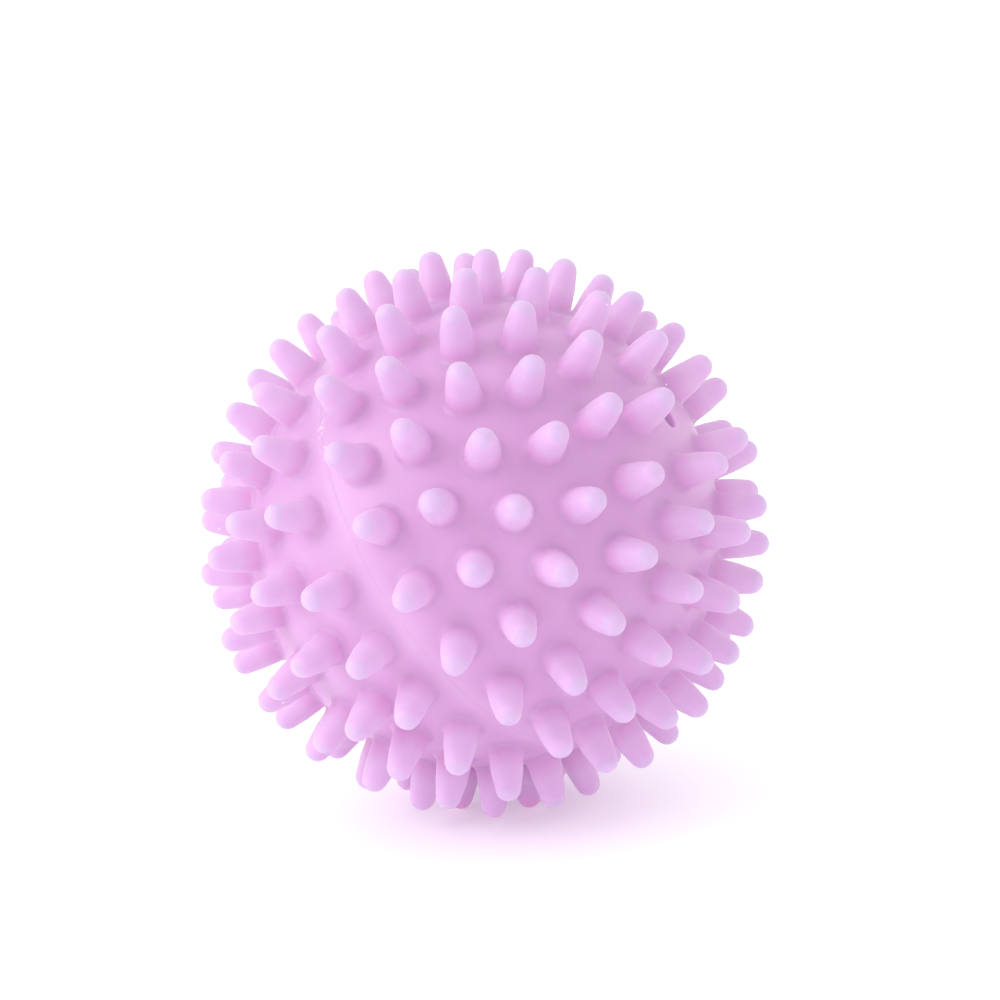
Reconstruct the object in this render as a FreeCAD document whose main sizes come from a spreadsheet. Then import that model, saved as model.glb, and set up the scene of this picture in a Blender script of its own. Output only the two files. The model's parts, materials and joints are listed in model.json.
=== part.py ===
import FreeCAD, Part

# A spiked dryer ball: a thin round shell of soft PVC, moulded as two equal halves and welded
# together along their rims, with rows of blunt cone-shaped spikes standing on each half. One half has a
# small vent hole at its pole. All lengths are in millimetres and all angles in degrees.
#
# Every piece is drawn about the mould axis, which runs from pole to pole through the ball's
# centre. The whole ball is then turned as it lies on a table: +Z is up, the origin is
# the ball's centre, and three spike tips share the lowest level.

import itertools
import math
import os

import Sketcher
from FreeCAD import Placement, Rotation, Vector

SIZES = (
    ("body_dia", 53.6, "outside diameter of the round shell, between the spikes"),
    ("wall", 2.0, "thickness of the shell"),
    ("vent_dia", 2.3, "hole at the pole of the vent half"),
    ("bead_width", 0.6, "weld bead along the joint, across"),
    ("bead_height", 0.12, "weld bead, how far it stands out"),
    ("spike_height", 5.7, "from the shell to the tip"),
    ("spike_tip_radius", 1.42, "rounding of the tip"),
    ("spike_side_radius", 27, "bow of a spike's side"),
    ("spike_foot_radius", 2.05, "half the width of a spike where it meets the shell"),
    ("pole_gap", 14.5, "angle from the pole to the first row"),
    ("joint_gap", 8.5, "angle from the last row to the joint"),
    ("first_row_spikes", 5, "spikes in the row nearest the pole"),
    ("second_row_spikes", 11, "spikes in the second row"),
    ("third_row_spikes", 16, "spikes in the third row"),
    ("fourth_row_spikes", 20, "spikes in the fourth row"),
    ("fifth_row_spikes", 22, "spikes in the fifth row"),
    ("sixth_row_spikes", 23, "spikes in the row beside the joint"),
    ("first_row_turn", 4, "turn of the first row about the mould axis"),
    ("second_row_turn", 8, "turn of the second row"),
    ("third_row_turn", 9.5, "turn of the third row"),
    ("fourth_row_turn", 0, "turn of the fourth row"),
    ("fifth_row_turn", -2, "turn of the fifth row"),
    ("sixth_row_turn", -1, "turn of the row beside the joint"),
    ("halves_turn", 222, "turn of the closed half against the vent half"),
    ("down_angle", 120, "angle from the vent to the side that the ball lies on"),
    ("down_side", 177, "turn about the mould axis of the side that the ball lies on"),
    ("vent_heading", -26, "compass turn of the vent, from +X towards +Y, seen from above"),
)
ROWS = ("first_row", "second_row", "third_row", "fourth_row", "fifth_row", "sixth_row")
UP = Vector(0, 0, 1)
VENT_OVERRUN = 1.0
NEAREST_TIPS = 10
LEVEL_TOLERANCE = 1e-6


def fill_sheet(doc):
    """The spreadsheet that holds every driving size, one alias to a row."""
    sheet = doc.addObject("Spreadsheet::Sheet", "Sizes")
    for row, (alias, value, note) in enumerate(SIZES, start=1):
        sheet.set(f"A{row}", note)
        sheet.set(f"B{row}", str(value))
        sheet.setAlias(f"B{row}", alias)
    doc.recompute()
    return sheet


def origin_feature(body, role):
    """One of a body's own base planes or axes, by its role."""
    return next(item for item in body.Origin.OriginFeatures if item.Role == role)


def new_body(doc, label):
    """An empty body that may hold several separate solids."""
    body = doc.addObject("PartDesign::Body", label)
    body.Label = label
    body.AllowCompound = True
    return body


def new_sketch(body, name, plane):
    """A sketch on one of the body's own base planes."""
    sketch = body.newObject("Sketcher::SketchObject", name)
    sketch.AttachmentSupport = (origin_feature(body, plane), [""])
    sketch.MapMode = "FlatFace"
    return sketch


def size_constraint(sketch, name, expression, *definition):
    """A named dimension in a sketch, bound to the spreadsheet."""
    index = sketch.addConstraint(Sketcher.Constraint(*definition))
    sketch.renameConstraint(index, name)
    sketch.setExpression(f"Constraints.{name}", expression)


def join_ends(sketch, *pairs):
    """Make pairs of end points coincide: (edge, end, edge, end)."""
    for first, first_end, second, second_end in pairs:
        sketch.addConstraint(Sketcher.Constraint("Coincident", first, first_end, second, second_end))


def revolve(body, sketch, name, axis):
    """Turn a sketch a full circle about an axis of its own."""
    feature = body.newObject("PartDesign::Revolution", name)
    feature.Profile = sketch
    feature.ReferenceAxis = (sketch, [axis])
    feature.Angle = 360
    return feature


def polar(radius, angle):
    """A point at a distance and an angle from the sketch's X axis."""
    turn = math.radians(angle)
    return Vector(radius * math.cos(turn), radius * math.sin(turn), 0)


def arc(centre, radius, start_angle, end_angle):
    """An arc that runs anticlockwise from one angle to the other."""
    circle = Part.Circle(centre, Vector(0, 0, 1), radius)
    return Part.ArcOfCircle(circle, math.radians(start_angle), math.radians(end_angle))


def heading(start, end):
    """The angle from the X axis of the way from one point to another, in degrees."""
    way = end.sub(start)
    return math.degrees(math.atan2(way.y, way.x))


def meeting_point(first, first_distance, second, second_distance):
    """Where two circles meet: the crossing to the right of the way from the first centre to the second."""
    way = second.sub(first)
    along = (way.Length ** 2 + first_distance ** 2 - second_distance ** 2) / (2 * way.Length)
    aside = math.sqrt(first_distance ** 2 - along ** 2)
    way.normalize()
    return first + way * along + Vector(way.y, -way.x, 0) * aside


# ---------------------------------------------------------------- shell halves


def half_shell(doc, sheet, label, vented):
    """One moulded half: a hemisphere of even wall, its rim flat on the joint plane."""
    outer = sheet.body_dia / 2
    inner = outer - sheet.wall
    body = new_body(doc, label)
    sketch = new_sketch(body, f"{label}_profile", "XZ_Plane")
    sketch.addGeometry(arc(Vector(), outer, 0, 90))
    sketch.addGeometry(Part.LineSegment(polar(outer, 90), polar(inner, 90)))
    sketch.addGeometry(arc(Vector(), inner, 0, 90))
    sketch.addGeometry(Part.LineSegment(polar(inner, 0), polar(outer, 0)))
    join_ends(sketch, (0, 2, 1, 1), (1, 2, 2, 2), (2, 1, 3, 1), (3, 2, 0, 1), (0, 3, -1, 1), (2, 3, -1, 1))
    sketch.addConstraint(Sketcher.Constraint("PointOnObject", 1, 1, -2))
    sketch.addConstraint(Sketcher.Constraint("PointOnObject", 1, 2, -2))
    sketch.addConstraint(Sketcher.Constraint("Horizontal", 3))
    sketch.addConstraint(Sketcher.Constraint("PointOnObject", 3, 1, -1))
    size_constraint(sketch, "outer", "Sizes.body_dia / 2", "Radius", 0, outer)
    size_constraint(sketch, "inner", "Sizes.body_dia / 2 - Sizes.wall", "Radius", 2, inner)
    body.Tip = revolve(body, sketch, f"{label}_wall", "V_Axis")
    if vented:
        doc.recompute()
        solid_volume = body.Shape.Volume
        hole = new_sketch(body, f"{label}_vent", "XY_Plane")
        hole.addGeometry(Part.Circle(Vector(), Vector(0, 0, 1), sheet.vent_dia / 2))
        join_ends(hole, (0, 3, -1, 1))
        size_constraint(hole, "vent", "Sizes.vent_dia", "Diameter", 0, sheet.vent_dia)
        pocket = body.newObject("PartDesign::Pocket", f"{label}_opening")
        pocket.Profile = hole
        pocket.Type = "Length"
        pocket.setExpression("Length", f"Sizes.body_dia / 2 + {VENT_OVERRUN}")
        pocket.Reversed = True
        body.Tip = pocket
        doc.recompute()
        if body.Shape.Volume >= solid_volume:
            raise RuntimeError(f"{label}: the vent removes nothing")
    return body


def weld_bead(doc, sheet, label):
    """The thin crown of material pressed out along the joint: a low lens carried round the ball."""
    outer = sheet.body_dia / 2
    half_angle = math.degrees(sheet.bead_width / 2 / outer)
    low = polar(outer, -half_angle)
    crest = Vector(outer + sheet.bead_height, 0, 0)
    high = polar(outer, half_angle)
    body = new_body(doc, label)
    sketch = new_sketch(body, f"{label}_profile", "XZ_Plane")
    sketch.addGeometry(arc(Vector(), outer, -half_angle, half_angle))
    sketch.addGeometry(Part.Arc(low, crest, high))
    join_ends(sketch, (0, 3, -1, 1), (1, 1, 0, 1), (1, 2, 0, 2))
    sketch.addConstraint(Sketcher.Constraint("PointOnObject", 1, 3, -1))
    crest_radius = "(Sizes.bead_width ^ 2 / 4 + Sizes.bead_height ^ 2) / (2 * Sizes.bead_height)"
    crest_value = (sheet.bead_width**2 / 4 + sheet.bead_height**2) / (2 * sheet.bead_height)
    size_constraint(sketch, "seat", "Sizes.body_dia / 2", "Radius", 0, outer)
    size_constraint(sketch, "across", "Sizes.bead_width", "DistanceY", 0, 1, 0, 2, sheet.bead_width)
    size_constraint(sketch, "crown", crest_radius, "Radius", 1, crest_value)
    body.Tip = revolve(body, sketch, f"{label}_ring", "V_Axis")
    return body


# ---------------------------------------------------------------- spikes


def row_angle(sheet, row):
    """Angle of a row from the pole: the rows are evenly spaced between the pole and the joint."""
    step = (90 - sheet.joint_gap - sheet.pole_gap) / (len(ROWS) - 1)
    return sheet.pole_gap + step * row


def spike_row(doc, sheet, label, row):
    """One row of spikes round the mould axis.

    A spike is half a section turned about its own axis, which leans from the mould axis by the
    row's angle: a rounded tip, a slightly bowed side that carries on smoothly from it, and a hollow
    foot that seats on the shell.
    """
    outer = sheet.body_dia / 2
    tip_radius = sheet.spike_tip_radius
    side_radius = sheet.spike_side_radius
    rise = 90 - row_angle(sheet, row)
    foot_angle = rise - math.degrees(math.asin(sheet.spike_foot_radius / outer))
    centre = polar(outer + sheet.spike_height - tip_radius, rise)
    foot = polar(outer, foot_angle)
    side_centre = meeting_point(centre, side_radius - tip_radius, foot, side_radius)
    foot_turn = heading(side_centre, foot)
    shoulder_turn = heading(side_centre, centre)
    body = new_body(doc, label)
    sketch = new_sketch(body, f"{label}_profile", "XZ_Plane")
    sketch.addGeometry(Part.LineSegment(polar(outer, rise), polar(outer + sheet.spike_height, rise)))
    sketch.addGeometry(arc(centre, tip_radius, shoulder_turn, rise))
    sketch.addGeometry(arc(side_centre, side_radius, foot_turn, shoulder_turn))
    sketch.addGeometry(arc(Vector(), outer, foot_angle, rise))
    sketch.addGeometry(Part.LineSegment(Vector(), polar(outer, rise)), True)
    join_ends(sketch, (4, 1, -1, 1), (4, 2, 0, 1), (0, 2, 1, 2), (2, 1, 3, 1), (3, 2, 0, 1), (3, 3, -1, 1))
    sketch.addConstraint(Sketcher.Constraint("PointOnObject", 0, 2, 4))
    sketch.addConstraint(Sketcher.Constraint("PointOnObject", 1, 3, 4))
    sketch.addConstraint(Sketcher.Constraint("Tangent", 1, 1, 2, 2))
    step = f"(90 - Sizes.joint_gap - Sizes.pole_gap) / {len(ROWS) - 1}"
    lean = f"(Sizes.pole_gap + {row} * {step})"
    size_constraint(sketch, "lean", f"(90 - {lean}) * 1 deg", "Angle", 4, math.radians(rise))
    size_constraint(sketch, "seat", "Sizes.body_dia / 2", "Radius", 3, outer)
    size_constraint(sketch, "tip", "Sizes.spike_tip_radius", "Radius", 1, tip_radius)
    size_constraint(sketch, "height", "Sizes.spike_height", "Distance", 0, sheet.spike_height)
    size_constraint(sketch, "side", "Sizes.spike_side_radius", "Radius", 2, side_radius)
    size_constraint(sketch, "foot", "Sizes.spike_foot_radius", "Distance", 2, 1, 4, sheet.spike_foot_radius)

    spike = revolve(body, sketch, f"{label}_spike", "Axis0")
    around = body.newObject("PartDesign::PolarPattern", f"{label}_pattern")
    around.Originals = [spike]
    around.Axis = (origin_feature(body, "Z_Axis"), [""])
    around.Angle = 360
    around.setExpression("Occurrences", f"Sizes.{ROWS[row]}_spikes")
    body.Tip = around
    return body


# ---------------------------------------------------------------- lying on a table


def half_turns(sheet):
    """How each half is turned about the centre: the closed half is the same moulding turned over."""
    turned_over = Rotation(Vector(1, 0, 0), 180)
    return {
        "vent": Rotation(),
        "closed": Rotation(UP, sheet.halves_turn).multiply(turned_over),
    }


def spike_directions(sheet):
    """Unit vectors from the ball's centre along every spike, in the mould's own frame."""
    directions = []
    for half in half_turns(sheet).values():
        for row, name in enumerate(ROWS):
            count = int(sheet.get(f"{name}_spikes"))
            lean = Rotation(Vector(0, 1, 0), row_angle(sheet, row))
            for index in range(count):
                turn = Rotation(UP, sheet.get(f"{name}_turn") + 360 * index / count)
                directions.append(half.multVec(turn.multVec(lean.multVec(UP))))
    return directions


def resting_side(sheet):
    """The direction that points straight down when the ball lies on three neighbouring spikes.

    The three are those whose triangle is crossed by the wanted downward direction, with
    every other tip on the ball's side of the plane through them.
    """
    lean = Rotation(Vector(0, 1, 0), sheet.down_angle)
    wanted = Rotation(UP, sheet.down_side).multVec(lean.multVec(UP))
    directions = spike_directions(sheet)
    nearest = sorted(directions, key=lambda direction: -direction.dot(wanted))[:NEAREST_TIPS]
    for triple in itertools.combinations(nearest, 3):
        first, second, third = triple
        normal = (second - first).cross(third - first)
        if normal.Length < LEVEL_TOLERANCE:
            continue
        normal.normalize()
        if normal.dot(wanted) < 0:
            normal = normal.negative()
        level = normal.dot(first)
        if any(direction.dot(normal) > level + LEVEL_TOLERANCE for direction in directions):
            continue
        sides = [a.cross(b).dot(wanted) for a, b in ((first, second), (second, third), (third, first))]
        if min(sides) >= 0 or max(sides) <= 0:
            return normal
    raise RuntimeError("no three spikes carry the ball on the wanted side")


def lying_turn(sheet):
    """The turn from the mould's frame to the ball as it lies: three tips down, vent to its heading."""
    settle = Rotation(resting_side(sheet), UP.negative())
    vent = settle.multVec(UP)
    settled_heading = math.degrees(math.atan2(vent.y, vent.x))
    return Rotation(UP, sheet.vent_heading - settled_heading).multiply(settle)


# ---------------------------------------------------------------- the ball


def check_document(doc, pieces):
    """Stop if any object failed to recompute or any piece has no valid shape."""
    for item in doc.Objects:
        if "Invalid" in item.State or "Error" in item.State:
            raise RuntimeError(f"{item.Label}: {item.State}")
    for piece in pieces:
        if piece.Shape.isNull() or not piece.Shape.isValid():
            raise RuntimeError(f"{piece.Label}: no valid shape")


def build():
    doc = FreeCAD.newDocument("DryerBall")
    sheet = fill_sheet(doc)
    lying = lying_turn(sheet)
    turns = half_turns(sheet)

    pieces = {
        "vent_half_shell": (half_shell(doc, sheet, "vent_half_shell", True), turns["vent"]),
        "closed_half_shell": (half_shell(doc, sheet, "closed_half_shell", False), turns["closed"]),
        "weld_bead": (weld_bead(doc, sheet, "weld_bead"), turns["vent"]),
    }
    for half, turn in turns.items():
        for row, name in enumerate(ROWS):
            label = f"{half}_half_spikes_row_{row + 1}"
            row_turn = Rotation(UP, sheet.get(f"{name}_turn"))
            pieces[label] = (spike_row(doc, sheet, label, row), turn.multiply(row_turn))

    for body, turn in pieces.values():
        body.Placement = Placement(Vector(), lying.multiply(turn))
    doc.recompute()
    bodies = [body for body, turn in pieces.values()]
    check_document(doc, bodies)

    os.makedirs("parts", exist_ok=True)
    for body in bodies:
        body.Shape.exportStep(f"parts/{body.Label}.step")
        print(f"{body.Label}: {len(body.Shape.Solids)} solids, {body.Shape.Volume:.1f} mm3")
    vent = lying.multVec(UP)
    lowest = min(body.Shape.BoundBox.ZMin for body in bodies)
    print(f"vent axis {vent.x:.6f} {vent.y:.6f} {vent.z:.6f}, lowest point {lowest:.4f} mm")


build()
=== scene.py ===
# %% [markdown]
# # A spiked dryer ball
#
# A dryer ball is a thin, hollow ball of soft vinyl, covered in blunt spikes that hold wet
# clothes apart in a tumble dryer. It is moulded as two cup-shaped halves, each with its spikes
# already on it, and the two rims are welded together. One half has a small hole at its pole,
# which lets the hot air out.
#
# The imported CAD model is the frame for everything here. It says how large each piece is and
# where it goes, so every size below is either read from it or is a fine detail that it leaves
# out, such as the fillet at the foot of a spike.

import json

import bpy
import numpy as np
from mathutils import Matrix, Vector
from mathutils.geometry import delaunay_2d_cdt


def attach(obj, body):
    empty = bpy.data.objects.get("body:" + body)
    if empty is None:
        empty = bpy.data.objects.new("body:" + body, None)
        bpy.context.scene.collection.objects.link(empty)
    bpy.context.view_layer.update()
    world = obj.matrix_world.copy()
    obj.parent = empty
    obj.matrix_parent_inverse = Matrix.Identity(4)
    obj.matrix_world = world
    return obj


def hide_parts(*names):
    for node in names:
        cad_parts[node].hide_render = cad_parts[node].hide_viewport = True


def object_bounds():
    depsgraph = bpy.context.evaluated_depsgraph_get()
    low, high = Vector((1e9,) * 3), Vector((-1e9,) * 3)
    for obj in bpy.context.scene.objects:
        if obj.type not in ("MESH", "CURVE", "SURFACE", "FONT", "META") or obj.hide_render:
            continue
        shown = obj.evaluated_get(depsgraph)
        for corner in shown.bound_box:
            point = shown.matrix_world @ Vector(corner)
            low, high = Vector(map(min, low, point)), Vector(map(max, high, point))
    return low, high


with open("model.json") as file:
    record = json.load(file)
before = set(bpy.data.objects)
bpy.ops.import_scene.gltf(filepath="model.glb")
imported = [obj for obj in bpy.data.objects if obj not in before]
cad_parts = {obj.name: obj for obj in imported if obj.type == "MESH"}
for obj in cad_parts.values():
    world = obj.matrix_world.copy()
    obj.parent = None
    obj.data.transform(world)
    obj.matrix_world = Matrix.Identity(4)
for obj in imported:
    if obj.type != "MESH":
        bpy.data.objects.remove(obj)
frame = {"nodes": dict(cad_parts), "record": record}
cad_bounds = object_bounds()
MM = 0.001
print("CAD box, mm:", [[round(value / MM, 2) for value in corner] for corner in cad_bounds])

# %% [markdown]
# ## What the frame says
#
# A spike could be placed by repeating the mould's row angles here, but then two files would
# hold the same numbers. The CAD spikes already know where they are: the point of a spike that is
# farthest from the ball's centre is its tip, and the direction of that point is the spike's axis.
# The radii of the shell are read in the same way, and the vent's axis comes from the record.

# %% Read arrays from meshes, and the spikes' axes from their tips
TIP_MATCH = 0.002 * MM
MICRON_DECIMALS = 6


def read_all(items, field, width=1, kind=np.float32):
    """One property of every vertex, corner or face of a mesh, as rows of an array."""
    values = np.empty(width * len(items), kind)
    items.foreach_get(field, values)
    return values.reshape(-1, width) if width > 1 else values


def node_points(name):
    """The points of a CAD node, in metres, as rows of x, y, z."""
    return read_all(frame["nodes"][name].data.vertices, "co", 3).astype(float)


def spike_axes(half):
    """Unit directions of the spikes on one half: its farthest points, divided by their length."""
    names = sorted(name for name in frame["nodes"] if name.startswith(f"{half}_half_spikes"))
    points = np.vstack([node_points(name) for name in names])
    reach = np.linalg.norm(points, axis=1)
    tips = np.unique(np.round(points[reach > reach.max() - TIP_MATCH], MICRON_DECIMALS), axis=0)
    return tips / np.linalg.norm(tips, axis=1, keepdims=True), reach.max()


# %% Read the shell, the vent and the spikes from the frame
shell_reach = np.linalg.norm(node_points("vent_half_shell"), axis=1)
OUTSIDE = shell_reach.max()
INSIDE = shell_reach.min()
vent_mount = next(mount for mount in frame["record"]["mounts"] if mount["name"] == "vent_hole")
VENT_AXIS = np.array(vent_mount["axis"])
VENT_RADIUS = vent_mount["dims"]["r_mm"] * MM
vent_spikes, TIP_REACH = spike_axes("vent")
closed_spikes, _ = spike_axes("closed")
FLOOR_LEVEL = cad_bounds[0][2]
print(f"shell {INSIDE / MM:.1f} to {OUTSIDE / MM:.1f} mm, tips at {TIP_REACH / MM:.1f} mm,",
      f"vent {2 * VENT_RADIUS / MM:.1f} mm across, {len(vent_spikes)} + {len(closed_spikes)} spikes")

# %% [markdown]
# ## The section of a spike
#
# A spike is turned from one section: a round tip, a slightly bowed side with enough draft to
# pull out of the mould, and a small fillet where it runs into the shell. A cone with a sphere on
# top would leave a hard ring at the foot, which a moulding never has. Instead the fillet is an
# arc that touches both the side and the shell, so the skin flows from one to the other.
#
# The section is drawn as few rings as keep its outline round, because the ball carries it 194
# times. Most of them go where it bends most: the tip and the fillet.

# %% Work out the section from tip to foot
TIP_RADIUS = 1.42 * MM
SHOULDER_TAPER, FOOT_TAPER = np.radians([13, 3])
FOOT_FILLET = 0.8 * MM
TIP_RINGS, SIDE_RINGS, FOOT_RINGS = 4, 2, 3


def arc(centre, radius, angles):
    """Points on a circle, at angles from the outward direction towards the tip."""
    return centre + radius * np.stack([np.cos(angles), np.sin(angles)], axis=1)


def spike_section():
    """Distance from the spike's axis and height above the ball's centre, ring by ring.

    Three arcs, each touching the next. The first rounds the tip. The second is the side, whose
    slope falls from the shoulder's taper to the foot's. The third is the fillet, hollow, whose
    centre lies one fillet radius above the shell. That last condition is a quadratic in the
    side's radius, and its smaller root is the one that ends at this spike's own foot.
    """
    tip_centre = np.array([0, TIP_REACH - TIP_RADIUS])
    shoulder = arc(tip_centre, TIP_RADIUS, [SHOULDER_TAPER])[0]
    across = np.array([np.cos(SHOULDER_TAPER), np.sin(SHOULDER_TAPER)])
    foot_across = np.array([np.cos(FOOT_TAPER), np.sin(FOOT_TAPER)])
    start, run = shoulder + FOOT_FILLET * foot_across, foot_across - across
    reach = OUTSIDE + FOOT_FILLET
    side_radius = np.roots([run @ run, 2 * start @ run, start @ start - reach**2]).min()
    fillet_centre = start + side_radius * run
    lean = np.arctan2(*fillet_centre)
    tip = arc(tip_centre, TIP_RADIUS, np.linspace(np.pi / 2, SHOULDER_TAPER, TIP_RINGS + 1)[1:])
    side_angles = np.linspace(SHOULDER_TAPER, FOOT_TAPER, SIDE_RINGS + 1)[1:]
    side = arc(shoulder - side_radius * across, side_radius, side_angles)
    foot = arc(fillet_centre, -FOOT_FILLET, np.linspace(FOOT_TAPER, np.pi / 2 - lean, FOOT_RINGS + 1)[1:])
    return np.vstack([tip, side, foot]), lean


section, foot_angle = spike_section()
print(f"{len(section)} rings from tip to foot, foot circle {2 * section[-1, 0] / MM:.2f} mm across")

# %% [markdown]
# ## Soft, and never quite regular
#
# The mould is regular but the ball isn't. Each spike leans a little, because vinyl is still warm
# when it is pulled out. Six spikes of the closed half stand beside their places, by half a
# millimetre to nearly one and a half. The wall is also out of round by up to a tenth of a
# millimetre. Modelling each fault by hand would be slow and hard to change. They are all small
# shifts of points, so each is written once, as a formula, and used on both halves. The sag
# depends only on a point's direction, so it keeps the two rims together.
#
# A stray is named by its rough direction from the ball's centre, and then by how many
# millimetres its tip stands off along its row and towards its half's pole.

# %% Leans, strays and sags
random = np.random.default_rng(31)
LEAN = 0.14 * MM
SAG = 0.10 * MM
LEAN_POWER = 1.5
STRAY_MATCH = 0.995
STRAYS = (
    ((-0.50, -0.71, -0.50), -1.3, -0.5),
    ((-0.46, -0.86, -0.23), -1.1, 0.1),
    ((-0.59, -0.81, 0.00), -1.0, 0.3),
    ((-0.65, -0.71, -0.28), -0.6, -0.1),
    ((-0.73, -0.53, 0.43), 0.5, 0.2),
    ((-0.68, -0.70, 0.22), 0.5, 0.3),
)


def beside_row(axes, pole):
    """The directions along each spike's row and towards the pole."""
    east = np.cross(pole, axes)
    east /= np.linalg.norm(east, axis=1, keepdims=True)
    return east, np.cross(axes, east)


def strayed(axes, pole):
    """Spike directions, with each stray moved by its millimetres along and across its row."""
    east, north = beside_row(axes, pole)
    moved = axes.copy()
    for direction, along, across in STRAYS:
        near = axes @ np.array(direction) > STRAY_MATCH
        moved[near] += (along * east[near] + across * north[near]) * MM / TIP_REACH
    return moved / np.linalg.norm(moved, axis=1, keepdims=True)


def sagged(points):
    """Points moved in or out by the mean of three slow sine waves of their own direction."""
    reach = np.linalg.norm(points, axis=1, keepdims=True)
    x, y, z = (points / reach).T
    waves = np.sin(4.1 * x + 2.3 * y) + np.sin(3.7 * y - 2.9 * z + 1) + np.sin(4.3 * z + 1.9 * x + 2)
    return points * (1 + SAG / OUTSIDE * waves[:, None] / 3)


# %% [markdown]
# ## One half as one skin
#
# On the real ball a half and its spikes are a single moulding. Spikes that merely stand in a
# sphere would look almost right, but soft vinyl lets light in, and the light would stop at
# the hidden surface under every spike. So each half is one closed skin. It is made in parts that
# share their points: every spike is its section carried round its axis, which gives a grid of
# rings, and the skin between the feet is a net of triangles.
#
# The net is easiest to find on a flat map. Seen from the opposite pole, half a sphere maps to a
# disc on which circles stay circles. Blender's constrained Delaunay function joins the points on
# that disc, and it keeps the foot circles, the rim and the vent as edges.

# %% Helpers for grids and loops of points
def own_frame(pole):
    """Three columns, a half's own x, y and z directions, with z along its pole."""
    return np.array(Vector(pole).to_track_quat("Z", "Y").to_matrix())


def circle(count, height, radius):
    """Points evenly round the half's own z axis, at a height and a distance from it."""
    turn = 2 * np.pi * np.arange(count) / count
    return np.stack([radius * np.cos(turn), radius * np.sin(turn), np.full(count, height)], axis=1)


def band(upper, lower):
    """Four-sided faces between two loops of point numbers, with the upper loop first."""
    corners = [upper, lower, np.roll(lower, -1, axis=-1), np.roll(upper, -1, axis=-1)]
    return np.stack(corners, axis=-1).reshape(-1, 4)


def fan(tip, loop):
    """Triangles from a tip to a loop that runs anticlockwise, seen from outside."""
    tip = np.broadcast_to(np.asarray(tip)[..., None], loop.shape)
    return np.stack([tip, loop, np.roll(loop, -1, axis=-1)], axis=-1).reshape(-1, 3)


def sunflower(spacing):
    """Points spread evenly over the half, in its own frame.

    Each is turned from the last by the golden angle, and the height falls evenly, because
    equal heights cut equal areas from a sphere.
    """
    count = int(2 * np.pi * OUTSIDE**2 / spacing**2)
    step = np.arange(count) + 0.5
    height = 1 - step / count
    turn = step * np.pi * (3 - np.sqrt(5))
    across = np.sqrt(1 - height**2)
    return OUTSIDE * np.stack([across * np.cos(turn), across * np.sin(turn), height], axis=1)


# %% Spikes as rings of points
ROUND = 16


def spike_rings(axes, pole):
    """Every spike of a half at once, as an array: spike, ring, place round the ring, x y z.

    A ring is a circle about the spike's axis, at the section's height and width. A lean grows
    with a power of the height above the shell, so the tip moves and the foot stays.
    """
    east, north = beside_row(axes, pole)
    aside = random.normal(0, LEAN, (2, len(axes), 1))
    lean = aside[0] * east + aside[1] * north
    width, height = section.T
    turn = 2 * np.pi * np.arange(ROUND) / ROUND
    wheel = east[:, None] * np.cos(turn)[None, :, None] + north[:, None] * np.sin(turn)[None, :, None]
    rise = np.clip((height - OUTSIDE) / (TIP_REACH - OUTSIDE), 0, 1) ** LEAN_POWER
    rings = (axes[:, None, None] * height[None, :, None, None]
             + wheel[:, None] * width[None, :, None, None]
             + lean[:, None, None] * rise[None, :, None, None])
    return rings, axes * TIP_REACH + lean


# %% Choose the points of the net between the spikes
NET_SPACING = 1.15 * MM
NET_MARGIN = 0.45 * MM
RIM_STEPS, VENT_STEPS = 320, 40
LIP = 0.25 * MM


def net_loops(foot_loops, vented):
    """The closed loops that bound the net: every foot, the rim and, on one half, the vent's lip."""
    loops = [*foot_loops, circle(RIM_STEPS, 0, OUTSIDE)]
    if vented:
        edge = VENT_RADIUS + LIP
        loops.append(circle(VENT_STEPS, np.sqrt(OUTSIDE**2 - edge**2), edge))
    return loops


def net_fill(own_axes, vented):
    """The evenly spread points that keep clear of the feet, the rim and the vent."""
    fill = sunflower(NET_SPACING)
    to_spike = np.arccos(np.clip(fill @ own_axes.T / OUTSIDE, -1, 1)).min(axis=1)
    vent_width = VENT_RADIUS + LIP + NET_MARGIN if vented else 0
    clear = to_spike > foot_angle + NET_MARGIN / OUTSIDE
    clear &= fill[:, 2] > NET_MARGIN
    clear &= np.hypot(fill[:, 0], fill[:, 1]) > vent_width
    return fill[clear]


# %% Join the points of the net
MAP_SCALE = 100
MAP_TOLERANCE = 1e-6


def flat_map(points):
    """A point's place on a disc, seen from the opposite pole: x and y over one plus the height."""
    return points[:, :2] / (1 + points[:, 2:] / OUTSIDE) / OUTSIDE


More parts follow.
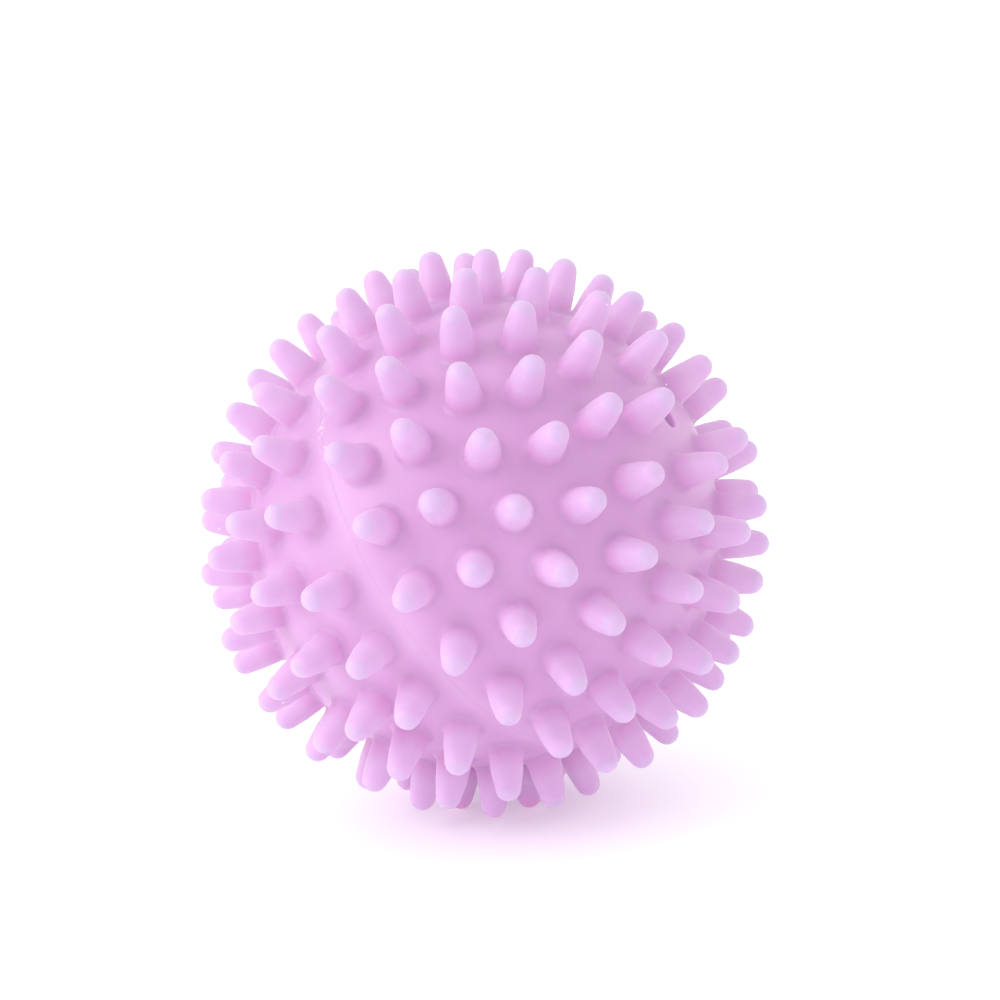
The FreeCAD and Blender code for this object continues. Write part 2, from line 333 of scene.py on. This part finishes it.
def shell_net(foot_loops, own_axes, vented):
    """Points and triangles of the skin between the feet, the rim and the vent, and its loops.

    Triangles with all three points on one foot or on the vent would close it like a lid, and
    are left out. The rest are turned so that they run anticlockwise, seen from outside.
    """
    loops = net_loops(foot_loops, vented)
    fill = net_fill(own_axes, vented)
    points = np.vstack([*loops, fill])
    lengths = np.array([len(loop) for loop in loops])
    starts = np.cumsum(lengths) - lengths
    numbers = [start + np.arange(length) for start, length in zip(starts, lengths)]
    owner = np.concatenate([np.repeat(np.arange(len(loops)), lengths), np.full(len(fill), -1)])
    owner[numbers[len(foot_loops)]] = -1
    edges = np.vstack([np.stack([loop, np.roll(loop, -1)], axis=-1) for loop in numbers])
    flat = [Vector(place) for place in (MAP_SCALE * flat_map(points)).tolist()]
    found = delaunay_2d_cdt(flat, edges.tolist(), [], 0, MAP_TOLERANCE)
    source = np.array([originals[0] for originals in found[3]])
    triangles = source[np.array(found[2])]
    sides = owner[triangles]
    lid = (sides[:, 0] == sides[:, 1]) & (sides[:, 1] == sides[:, 2]) & (sides[:, 0] >= 0)
    triangles = triangles[~lid]
    corner = points[triangles]
    normal = np.cross(corner[:, 1] - corner[:, 0], corner[:, 2] - corner[:, 0])
    inward = (normal * corner.mean(axis=1)).sum(axis=1) < 0
    return points, np.where(inward[:, None], triangles[:, ::-1], triangles), numbers


# %% [markdown]
# ## Closing the moulding
#
# The skin needs a wall, because light that goes in has to find the other side. A Solidify
# modifier would do it, but it would also hollow out the spikes, and on the real ball they are
# solid. So the inside is its own grid: a smaller hemisphere, joined to the outside by a flat rim
# and, on the vent half, by the bore with its rounded lip.

# %% The inside and the vent's lip
INNER_RINGS = 24
POLE_RING = np.radians(3)
LIP_RINGS = 4


def inner_wall(vented):
    """The inner hemisphere, ring by ring from the rim towards the pole.

    The last ring is the bore's inner edge on the vent half, and a small ring that a single
    point closes on the other.
    """
    last = np.arcsin(VENT_RADIUS / INSIDE) if vented else POLE_RING
    angles = np.linspace(np.pi / 2, last, INNER_RINGS)
    places = INSIDE * np.stack([np.cos(angles), np.sin(angles)], axis=1)
    return np.stack([circle(VENT_STEPS, height, radius) for height, radius in places])


def vent_lip():
    """The vent's rounded edge as rings: a quarter turn from the skin down into the bore."""
    top = np.sqrt(OUTSIDE**2 - (VENT_RADIUS + LIP) ** 2)
    turns = np.linspace(0, np.pi / 2, LIP_RINGS + 1)[1:]
    places = np.stack([top - LIP + LIP * np.cos(turns), VENT_RADIUS + LIP - LIP * np.sin(turns)], axis=1)
    return np.stack([circle(VENT_STEPS, height, radius) for height, radius in places])


def rim_faces(outer, inner):
    """The flat rim, from a finely divided outer loop to a coarser inner one.

    Each outer edge makes a triangle with the nearest inner point, and each inner edge makes
    one with the outer point that faces its middle.
    """
    ratio = len(outer) // len(inner)
    step = np.arange(len(outer))
    nearest = inner[(step + ratio // 2) // ratio % len(inner)]
    outward = np.stack([np.roll(outer, -1), outer, nearest], axis=1)
    inward = np.stack([outer[ratio // 2::ratio], inner, np.roll(inner, -1)], axis=1)
    return [outward, inward]


# %% Put a half together
def half_skin(half, world_axes, pole):
    """All points of a half in its place, and all its faces as arrays of point numbers."""
    vented = half == "vent"
    turn = own_frame(pole)
    axes = strayed(world_axes, pole) @ turn
    rings, tips = spike_rings(axes, np.array([0.0, 0.0, 1.0]))
    feet = len(rings)
    points, net, loops = shell_net(rings[:, -1], axes, vented)
    parts, faces = [points], [net]

    def numbered(extra):
        """Add points and give their numbers, in the same arrangement."""
        first = sum(map(len, parts))
        parts.append(extra.reshape(-1, 3))
        return first + np.arange(extra.size // 3).reshape(extra.shape[:-1])

    spikes = np.concatenate([numbered(rings[:, :-1]), np.stack(loops[:feet])[:, None]], axis=1)
    faces += [fan(numbered(tips), spikes[:, 0]), band(spikes[:, :-1], spikes[:, 1:])]
    inner = numbered(inner_wall(vented))
    faces += [band(inner[:-1], inner[1:]), *rim_faces(loops[feet], inner[0])]
    if vented:
        lip = np.vstack([loops[feet + 1][None], numbered(vent_lip()), inner[-1:]])
        faces.append(band(lip[:-1], lip[1:])[:, ::-1])
    else:
        faces.append(fan(numbered(np.array([0, 0, INSIDE])), inner[-1])[:, ::-1])
    return sagged(np.vstack(parts) @ turn.T), faces


# %% [markdown]
# ## From arrays to meshes
#
# Blender takes a mesh as a list of points and a list of faces. Smooth shading then blends the
# directions of neighbouring faces. That is right on a spike. Beside the rim it would blend the
# skin with the flat faces of the joint, and the joint would show as a dark, jagged band. So
# each corner on the shell is given the direction from the ball's centre, which is what a round
# surface has there, and the joint's own faces stay flat.

# %% Put points and faces into a mesh
def make_piece(name, points, faces):
    """A smooth mesh object at the origin, from arrays of points and of faces."""
    mesh = bpy.data.meshes.new(name)
    mesh.from_pydata(points, [], [face for group in faces for face in group.tolist()])
    mesh.shade_smooth()
    piece = bpy.data.objects.new(name, mesh)
    bpy.context.scene.collection.objects.link(piece)
    size = points.max(axis=0) - points.min(axis=0)
    print(f"{name}: {len(mesh.vertices)} points, {len(mesh.polygons)} faces,",
          "box", [round(side / MM, 1) for side in size.tolist()], "mm")
    return piece


# %% Shade the shell as the round surface that it is
ACROSS_JOINT = 0.99
JOINT_DEPTH = 0.01 * MM
SKIN_MATCH = 0.001 * MM


def shade_shell(piece):
    """Give each corner on the shell its own direction from the centre, and keep the joint flat.

    The direction is the corner's place divided by its distance from the centre. A zero
    leaves a corner as Blender shades it.
    """
    mesh = piece.data
    across = np.abs(read_all(mesh.polygons, "normal", 3) @ VENT_AXIS) > ACROSS_JOINT
    in_joint = across & (np.abs(read_all(mesh.polygons, "center", 3) @ VENT_AXIS) < JOINT_DEPTH)
    mesh.polygons.foreach_set("use_smooth", ~in_joint)
    points = read_all(mesh.vertices, "co", 3)
    distance = np.linalg.norm(points, axis=1, keepdims=True)
    skin = np.linalg.norm(sagged(points / distance * OUTSIDE), axis=1, keepdims=True)
    directions = np.where(np.abs(distance - skin) < SKIN_MATCH, points / distance, 0)
    sides = read_all(mesh.polygons, "loop_total", kind=np.int32)
    corners = read_all(mesh.loops, "vertex_index", kind=np.int32)
    directions = np.where(np.repeat(in_joint, sides)[:, None], 0, directions[corners])
    mesh.normals_split_custom_set(directions.tolist())
    exact = int((np.abs(directions).max(axis=1) > 0).sum())
    print(f"{piece.name}: {int(in_joint.sum())} flat faces in the joint,",
          f"{exact} of {len(corners)} corners shaded as the shell")


vent_half = make_piece("vent_half", *half_skin("vent", vent_spikes, VENT_AXIS))
closed_half = make_piece("closed_half", *half_skin("closed", closed_spikes, -VENT_AXIS))
for piece in (vent_half, closed_half):
    shade_shell(piece)

# %% [markdown]
# ## The weld
#
# Where the rims were pressed together a little vinyl came out and was trimmed, which leaves a
# fine raised line that comes and goes. A dark line painted on the skin would be simpler, but it
# would look the same from every side. So it is a low section carried round the joint
# circle, a third of a millimetre across at its widest. Its width and height change slowly on the
# way, and it catches the light in some places and is lost in others.

# %% Carry the weld's section round the joint
WELD_STEPS = 900
WELD_HALF_WIDTH = 0.15 * MM
WELD_HEIGHT = 0.03 * MM
WELD_DEPTH = 0.05 * MM
WELD_SEAT = 0.002 * MM
WELD_WANDER = 0.03 * MM
ARCH_POINTS = 7
ROOT_WIDTH = 0.7


def weld_line(pole):
    """Points as step, place in the section, x y z, and their faces.

    The section is a low arch from one side of the joint to the other, with two points inside
    the wall. Three sine waves of different lengths are added to set how wide and high the
    arch is, and one more moves it from side to side.
    """
    turn = 2 * np.pi * np.arange(WELD_STEPS) / WELD_STEPS
    swell = 0.62 + 0.2 * np.sin(5 * turn + 1) + 0.13 * np.sin(17 * turn) + 0.12 * np.sin(61 * turn + 2)
    arch = np.linspace(-1, 1, ARCH_POINTS)
    wander = WELD_WANDER * np.sin(9 * turn + 0.5)
    across = np.concatenate([arch, [ROOT_WIDTH, -ROOT_WIDTH]])
    side = across[None] * WELD_HALF_WIDTH * swell[:, None] + wander[:, None]
    crown = WELD_HEIGHT * (1 - arch**2) * swell[:, None]
    sunk = np.full((WELD_STEPS, 2), -WELD_DEPTH)
    reach = OUTSIDE - WELD_SEAT + np.hstack([crown, sunk])
    own = np.stack([reach * np.cos(turn)[:, None], reach * np.sin(turn)[:, None], side], axis=-1)
    numbers = np.arange(own.size // 3).reshape(own.shape[:-1])
    faces = band(numbers, np.roll(numbers, -1, axis=0))
    return sagged(own.reshape(-1, 3) @ own_frame(pole).T), [faces]


weld = make_piece("weld_line", *weld_line(VENT_AXIS))

# %% [markdown]
# ## Riding on the frame
#
# Nothing moves on a dryer ball, so every piece rides on the one body. Each half stands for its
# CAD shell and the six rows of CAD spikes on it, and the weld line stands for the CAD bead.

for half, piece in (("vent", vent_half), ("closed", closed_half)):
    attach(piece, "root")
    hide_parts(*sorted(name for name in frame["nodes"] if name.startswith(f"{half}_half")))
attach(weld, "root")
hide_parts("weld_bead")

# %% [markdown]
# ## The vinyl
#
# The ball is plasticised PVC, coloured all through and moulded in a blasted mould. That gives
# the eye three things: a satin surface with soft highlights, a slight clearness that lets light
# wander under the skin and come out again, and spike tips that look paler. The tips are rubbed
# dull, and their paleness is a painted highlight in the colour, for the light that the thin tips
# catch from every side.
#
# A picture wrapped round the ball would stretch over the spikes. Everything here is worked out
# from a point's place instead: its distance from the centre says how far up a spike it is, and
# its distance from the joint plane says how near the weld it is. Each effect has a small
# function of its own, and the last cell joins them in one shader: the colour up a spike with its
# painted shade and highlight, pale crumbs of trimmed flash beside the weld, pale painted glints,
# pinker painted bounce light in the hollows between the spikes, and a faint painted glow on the
# inside of the wall.

# %% Helpers for materials
def linear(code):
    """An sRGB hex colour as linear red, green, blue and alpha."""
    values = [int(code[place:place + 2], 16) / 255 for place in (1, 3, 5)]
    return [value / 12.92 if value <= 0.04045 else ((value + 0.055) / 1.055) ** 2.4 for value in values] + [1]


def add_node(material, kind, inputs=None, **settings):
    """Add a shader node with its settings. An input's value is a number, a colour or a socket to link."""
    tree = material.node_tree
    node = tree.nodes.new(f"ShaderNode{kind}")
    for name, value in settings.items():
        setattr(node, name, value)
    for name, value in (inputs or {}).items():
        if isinstance(value, bpy.types.NodeSocket):
            tree.links.new(value, node.inputs[name])
        else:
            node.inputs[name].default_value = value
    return node


def new_material(name):
    """An empty node material with only an output."""
    material = bpy.data.materials.new(name)
    material.use_nodes = True
    material.node_tree.nodes.clear()
    return material, add_node(material, "OutputMaterial")


# %% Colour and height up a spike
# Only the shell colour is the vinyl's own. The stops up a spike paint in light and shade: a pinker painted
# shade at the foot, paler sides, and a paler, cooler painted highlight at the tip.
SHELL_COLOUR, FOOT_COLOUR, SIDE_COLOUR, NECK_COLOUR, TIP_COLOUR = map(
    linear, ("#D1A2D1", "#DAAED9", "#DDBCE0", "#D7B3DC", "#CCB3D7"))
COLOUR_STOPS = ((0.15, FOOT_COLOUR), (0.45, SIDE_COLOUR), (0.83, NECK_COLOUR))
SHELL_STOP, TIP_STOP = 0.02, 0.91
BLOTCH_SIZE = 7 * MM
BLOTCH_SHIFT = 0.07


def height_up_spike(material, place, reach):
    """0 on the shell and 1 at a tip, shifted a little by a slow noise so that no two spikes match."""
    height = add_node(material, "MapRange", {"Value": reach, "From Min": OUTSIDE, "From Max": TIP_REACH})
    blotch = add_node(material, "TexNoise", {"Vector": place, "Scale": 1 / BLOTCH_SIZE, "Detail": 3})
    shift = add_node(material, "MapRange", {"Value": blotch.outputs["Fac"], "From Min": 0.3, "From Max": 0.7,
                                            "To Min": -BLOTCH_SHIFT, "To Max": BLOTCH_SHIFT})
    return add_node(material, "Math", {0: height.outputs[0], 1: shift.outputs[0]}, operation="ADD").outputs[0]


def lit_colour_up_spike(material, height):
    """Colour by height with light and shade painted in: a pinker painted shade at the foot, palest on the
    side, and a paler, cooler painted highlight at the tip.
    """
    ramp = add_node(material, "ValToRGB", {"Fac": height})
    stops = ramp.color_ramp.elements
    stops[0].position, stops[0].color = SHELL_STOP, SHELL_COLOUR
    stops[1].position, stops[1].color = TIP_STOP, TIP_COLOUR
    for position, colour in COLOUR_STOPS:
        stops.new(position).color = colour
    return ramp.outputs["Color"]


# %% Crumbs beside the weld, and painted glints on the skin
# A pale colour for the trimmed flash beside the weld, and for the painted glints of small glossy bubbles.
FLECK_AND_GLINT_COLOUR = linear("#F4E4F7")
CRUMB_PLACE = [-16.8 * MM, -15.5 * MM, 14.1 * MM]
CRUMB_SIZE = 0.5 * MM
CRUMB_SHADE = 0.6
SPECK_SPACING = 5 * MM
SPECK_RADIUS = 0.14 * MM


def weld_crumbs(material, place, from_weld):
    """How much of a point is trimmed flash: beside the weld, near one place, where a fine noise is high."""
    beside = add_node(material, "MapRange", {"Value": from_weld, "From Min": 0.15 * MM,
                                             "From Max": 0.8 * MM, "To Min": 1, "To Max": 0})
    away = add_node(material, "VectorMath", {0: place, 1: CRUMB_PLACE}, operation="DISTANCE")
    here = add_node(material, "MapRange", {"Value": away.outputs["Value"], "From Min": 2 * MM,
                                           "From Max": 4.5 * MM, "To Min": 1, "To Max": 0})
    noise = add_node(material, "TexNoise", {"Vector": place, "Scale": 1 / CRUMB_SIZE, "Detail": 2})
    crumbs = add_node(material, "MapRange", {"Value": noise.outputs["Fac"], "From Min": 0.54,
                                             "From Max": 0.66, "To Max": CRUMB_SHADE})
    near = add_node(material, "Math", {0: beside.outputs[0], 1: here.outputs[0]}, operation="MULTIPLY")
    share = add_node(material, "Math", {0: near.outputs[0], 1: crumbs.outputs[0]}, operation="MULTIPLY")
    return share.outputs[0]


def painted_glints(material, place):
    """1 within a speck's radius of the middle of a Voronoi cell: a pale dot every few millimetres, a painted
    glint of a small glossy bubble.
    """
    cells = add_node(material, "TexVoronoi", {"Vector": place, "Scale": 1 / SPECK_SPACING})
    inside = {0: cells.outputs["Distance"], 1: SPECK_RADIUS / SPECK_SPACING}
    return add_node(material, "Math", inside, operation="LESS_THAN").outputs[0]


# %% Light between the spikes and inside the ball
CREVICE_COLOUR = linear("#E6A6DC")
CREVICE_REACH = 3.5 * MM
CREVICE_SHADE = 0.9
# The bore and the inside of the wall are painted this greyer lilac and glow faintly in it: painted light and
# shade for daylight through the wall.
INSIDE_LIGHT_COLOUR = linear("#BCA9C6")
GLOW_STRENGTH = 0.32


def hollows(material):
    """How hidden a point is. This stands in for light that bounces between pink walls and turns pinker."""
    air = add_node(material, "AmbientOcclusion", {"Distance": CREVICE_REACH}, samples=6)
    deep = add_node(material, "MapRange", {"Value": air.outputs["AO"], "From Min": 0.25, "From Max": 0.85,
                                           "To Min": CREVICE_SHADE, "To Max": 0})
    return deep.outputs[0]


def within_wall(material, reach):
    """1 from 1.2 mm below the skin inwards, and 0 on the skin: the vent's bore and the inside."""
    within = add_node(material, "MapRange", {"Value": reach, "From Min": OUTSIDE - 1.2 * MM,
                                             "From Max": OUTSIDE - 0.2 * MM, "To Min": 1, "To Max": 0})
    return within.outputs[0]


# %% Soft PVC
PVC_IOR = 1.53
SHELL_ROUGHNESS, TIP_ROUGHNESS = 0.36, 0.52
GRAIN_SIZE = 0.5 * MM
GRAIN_HEIGHT = 0.02 * MM
LIGHT_DEPTH = 2 * MM
WELD_FADE = 2.5 * MM


def soft_pvc():
    """Plasticised PVC: satin, slightly clear, paler towards the spike tips.

    The light under the skin fades out towards the joint, because it can't cross from one half
    to the other there and would leave a dark line. The bore and the inside of the wall are painted
    a greyer lilac and given a faint painted glow, for the daylight that comes through two
    millimetres of vinyl.
    """
    material, output = new_material("soft_pvc")
    place = add_node(material, "TexCoord").outputs["Object"]
    reach = add_node(material, "VectorMath", {0: place}, operation="LENGTH").outputs["Value"]
    level = add_node(material, "VectorMath", {0: place, 1: VENT_AXIS.tolist()}, operation="DOT_PRODUCT")
    from_weld = add_node(material, "Math", {0: level.outputs["Value"]}, operation="ABSOLUTE").outputs[0]
    height = height_up_spike(material, place, reach)
    within = within_wall(material, reach)

    colour = lit_colour_up_spike(material, height)
    layers = (
        (weld_crumbs(material, place, from_weld), FLECK_AND_GLINT_COLOUR),
        (painted_glints(material, place), FLECK_AND_GLINT_COLOUR),
        (hollows(material), CREVICE_COLOUR),
        (within, INSIDE_LIGHT_COLOUR),
    )
    for share, layer in layers:
        colour = add_node(material, "Mix", {0: share, 6: colour, 7: layer}, data_type="RGBA").outputs[2]

    rubbed = add_node(material, "MapRange", {"Value": height,
                                             "To Min": SHELL_ROUGHNESS, "To Max": TIP_ROUGHNESS})
    grain = add_node(material, "TexNoise", {"Vector": place, "Scale": 1 / GRAIN_SIZE, "Detail": 2})
    bump = add_node(material, "Bump", {"Height": grain.outputs["Fac"],
                                       "Distance": GRAIN_HEIGHT, "Strength": 0.5})
    through = add_node(material, "MapRange", {"Value": from_weld, "From Min": 0, "From Max": WELD_FADE},
                       interpolation_type="SMOOTHSTEP")
    glow = add_node(material, "Math", {0: within, 1: GLOW_STRENGTH}, operation="MULTIPLY")
    shader = add_node(material, "BsdfPrincipled", {
        "Base Color": colour, "Roughness": rubbed.outputs[0], "IOR": PVC_IOR,
        "Normal": bump.outputs["Normal"],
        "Emission Color": INSIDE_LIGHT_COLOUR, "Emission Strength": glow.outputs[0],
        "Sheen Weight": 0.08, "Sheen Roughness": 0.3,
        "Subsurface Weight": through.outputs[0], "Subsurface Radius": (0.8, 0.45, 0.6),
        "Subsurface Scale": LIGHT_DEPTH,
    })
    material.node_tree.links.new(shader.outputs[0], output.inputs["Surface"])
    return material


vinyl = soft_pvc()
for piece in (vent_half, closed_half, weld):
    piece.data.materials.append(vinyl)
print("soft_pvc:", len(vinyl.node_tree.nodes), "nodes")

# %% [markdown]
# ## The table and the light
#
# The ball lies on three of its spikes, on a plain white table under a large soft light from the
# upper left, in a white room that fills the shadows from all round. Small lamps would put hard
# dots on every tip. The table is lit a little from within as well, so that it stays as white
# as the room behind it and only the ball's own soft shadow shows on it.

# %% A white table
TABLE_RADIUS = 3.0
TABLE_HUB = 0.02
TABLE_RINGS, TABLE_STEPS = 12, 48
TABLE_GLOW = 0.2


def white_laminate():
    """White melamine laminate: matt, nearly as bright as paper, with a barely seen unevenness."""
    material, output = new_material("white_laminate")
    place = add_node(material, "TexCoord").outputs["Object"]
    cloud = add_node(material, "TexNoise", {"Vector": place, "Scale": 1 / (80 * MM)}).outputs["Fac"]
    shades = {0: cloud, 6: linear("#F6F6F8"), 7: linear("#FAFAFB")}
    colour = add_node(material, "Mix", shades, data_type="RGBA").outputs[2]
    shader = add_node(material, "BsdfPrincipled", {
        "Base Color": colour, "Roughness": 0.6,
        "Emission Color": linear("#FFFFFF"), "Emission Strength": TABLE_GLOW,
    })
    material.node_tree.links.new(shader.outputs[0], output.inputs["Surface"])
    return material


def table_top():
    """A disc at the level of the lowest spike tips: rings whose radius grows by a constant factor."""
    radii = np.geomspace(TABLE_HUB, TABLE_RADIUS, TABLE_RINGS)
    rings = np.stack([circle(TABLE_STEPS, FLOOR_LEVEL, radius) for radius in radii])
    numbers = np.arange(rings.size // 3).reshape(rings.shape[:-1])
    points = np.vstack([rings.reshape(-1, 3), [[0, 0, FLOOR_LEVEL]]])
    return points, [band(numbers[:-1], numbers[1:]), fan(np.array(len(points) - 1), numbers[0])]


table = make_piece("table_top", *table_top())
table.data.materials.append(white_laminate())


# %% A soft lamp and a white room
LAMP_PLACE = (-0.8, -0.35, 0.5)
LAMP_SIZE = 0.6
LAMP_POWER = 3.8
ROOM_STRENGTH = 1.07


def soft_lamp(name, place, size, power):
    """A square lamp that faces the ball."""
    light = bpy.data.lights.new(name, "AREA")
    light.size, light.energy = size, power
    lamp = bpy.data.objects.new(name, light)
    lamp.location = place
    lamp.rotation_euler = Vector(place).to_track_quat("Z", "Y").to_euler()
    bpy.context.scene.collection.objects.link(lamp)


soft_lamp("key_lamp", LAMP_PLACE, LAMP_SIZE, LAMP_POWER)
room = bpy.data.worlds.new("white_room")
room.use_nodes = True
background = room.node_tree.nodes["Background"]
background.inputs["Color"].default_value = linear("#FFFFFF")
background.inputs["Strength"].default_value = ROOM_STRENGTH
bpy.context.scene.world = room
bpy.context.scene.view_settings.view_transform = "Standard"
print(f"key_lamp: {np.linalg.norm(LAMP_PLACE):.2f} m from the ball, {LAMP_SIZE} m across, {LAMP_POWER} W")

# %% [markdown]
# ## The camera
#
# The camera stands a quarter of a metre from the ball, a little above it, and is tilted
# sideways by about three degrees. At that distance perspective shows: the near spikes are
# clearly larger than those round the edge, which a long lens far away would lose.

# %% Place the camera
DISTANCE = 0.25906
AZIMUTH, ELEVATION, TILT = np.radians([-0.30, 11.26, 2.9])
LENS, SENSOR_WIDTH = 81.55, 36
SHIFT = (0.0156, 0.0318)
CLIP = (0.01, 10)


def place_camera():
    """The camera looks at the ball's centre. Its z axis points back along the line of sight."""
    flat = np.array([np.sin(AZIMUTH), -np.cos(AZIMUTH), 0])
    back = flat * np.cos(ELEVATION) + np.array([0, 0, np.sin(ELEVATION)])
    level = np.array([np.cos(AZIMUTH), np.sin(AZIMUTH), 0])
    upright = np.cross(back, level)
    right = np.cos(TILT) * level - np.sin(TILT) * upright
    up = np.cos(TILT) * upright + np.sin(TILT) * level
    data = bpy.data.cameras.new("camera")
    data.lens, data.sensor_width = LENS, SENSOR_WIDTH
    data.shift_x, data.shift_y = SHIFT
    data.clip_start, data.clip_end = CLIP
    camera = bpy.data.objects.new("camera", data)
    columns = np.stack([right, up, back, DISTANCE * back], axis=1)
    camera.matrix_world = Matrix(np.vstack([columns, [0, 0, 0, 1]]).tolist())
    bpy.context.scene.collection.objects.link(camera)
    bpy.context.scene.camera = camera


place_camera()
print(f"camera {DISTANCE} m from the ball's centre, {LENS} mm lens")
